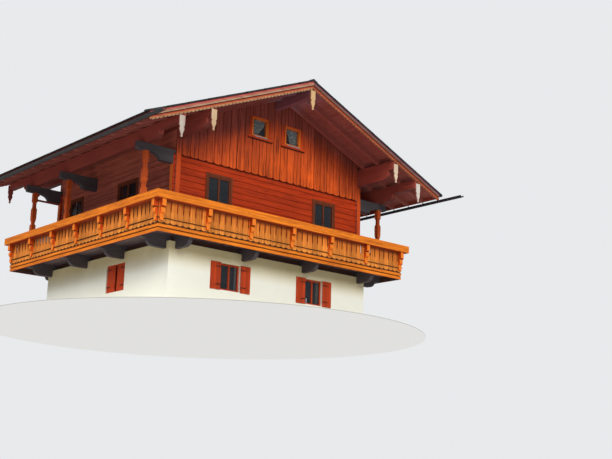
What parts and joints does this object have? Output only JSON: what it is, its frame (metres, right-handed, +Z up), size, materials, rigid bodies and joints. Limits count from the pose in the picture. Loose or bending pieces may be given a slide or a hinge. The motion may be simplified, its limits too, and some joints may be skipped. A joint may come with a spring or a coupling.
{
  "type": "alpine chalet",
  "caption": "Two-storey alpine chalet: rendered ground floor, squared-log upper floor, balcony all round and a wide low gable roof.",
  "frame": {"origin": "on the ground, at the centre of the log walls", "axes": "+X right along the gable front, +Y back along the ridge, +Z up"},
  "size_m": [14.156, 14.398, 8.828],
  "materials": {
    "render_plaster": "matt lime render, warm cream",
    "screed": "matt concrete screed",
    "floor_boards": "planed boards, oiled",
    "glazed_logs": "squared logs with an orange-red glaze",
    "cladding_boards": "vertical boards with an orange-brown glaze",
    "dark_timber": "beams with a dark red-brown glaze",
    "soffit_timber": "rafters and boards with a red-brown glaze",
    "roof_covering": "dark fibre-cement tiles",
    "weathered_boards": "weathered pinkish boards",
    "tan_boards": "orange-tan boards",
    "pale_boards": "pale cream boards, painted and worn",
    "gutter_metal": "dark sheet metal, weathered",
    "carved_wood": "carved timber with an orange glaze",
    "honey_boards": "boards with a bright honey glaze",
    "railing_boards": "boards with a honey glaze",
    "window_glass": "clear window glass",
    "golden_frames": "frames with a golden glaze",
    "brown_frames": "frames with a brown glaze",
    "red_brown_paint": "red-brown painted boards"
  },
  "bodies": {
    "root": {"ground_walls_gable": "render_plaster", "ground_walls_eaves": "render_plaster", "ground_floor": "screed", "upper_floor": "floor_boards", "attic_floor": "floor_boards", "log_walls_gable": "glazed_logs", "log_walls_eaves": "glazed_logs", "boarded_gables": "cladding_boards", "ridge_purlin": "dark_timber", "wall_purlins": "dark_timber", "outer_purlins": "dark_timber", "saddle_logs": "dark_timber", "console_beams": "dark_timber", "balcony_posts": "carved_wood", "tie_rails": "dark_timber", "rafters_left": "soffit_timber", "rafters_right": "soffit_timber", "rafter_infill": "soffit_timber", "roof_boards_left": "soffit_timber", "roof_boards_right": "soffit_timber", "roof_cover_left": "roof_covering", "roof_cover_right": "roof_covering", "ridge_cap": "roof_covering", "barge_boards": "weathered_boards", "scalloped_boards": "tan_boards", "purlin_pendants": "pale_boards", "eave_boards": "dark_timber", "gutters": "gutter_metal", "deck_joists": "dark_timber", "balcony_deck": "floor_boards", "fascia_eaves": "honey_boards", "fascia_gable": "honey_boards", "railings_gable": "railing_boards", "railings_eaves": "railing_boards", "trough_brackets": "carved_wood", "flower_troughs_gable": "honey_boards", "flower_troughs_eaves": "honey_boards", "attic_window_frames": "golden_frames", "upper_window_frames": "brown_frames", "balcony_doors": "brown_frames", "ground_window_frames": "red_brown_paint", "window_glass": "window_glass", "ground_shutters": "red_brown_paint", "entrance_door": "red_brown_paint"}
  },
  "joints": []
}
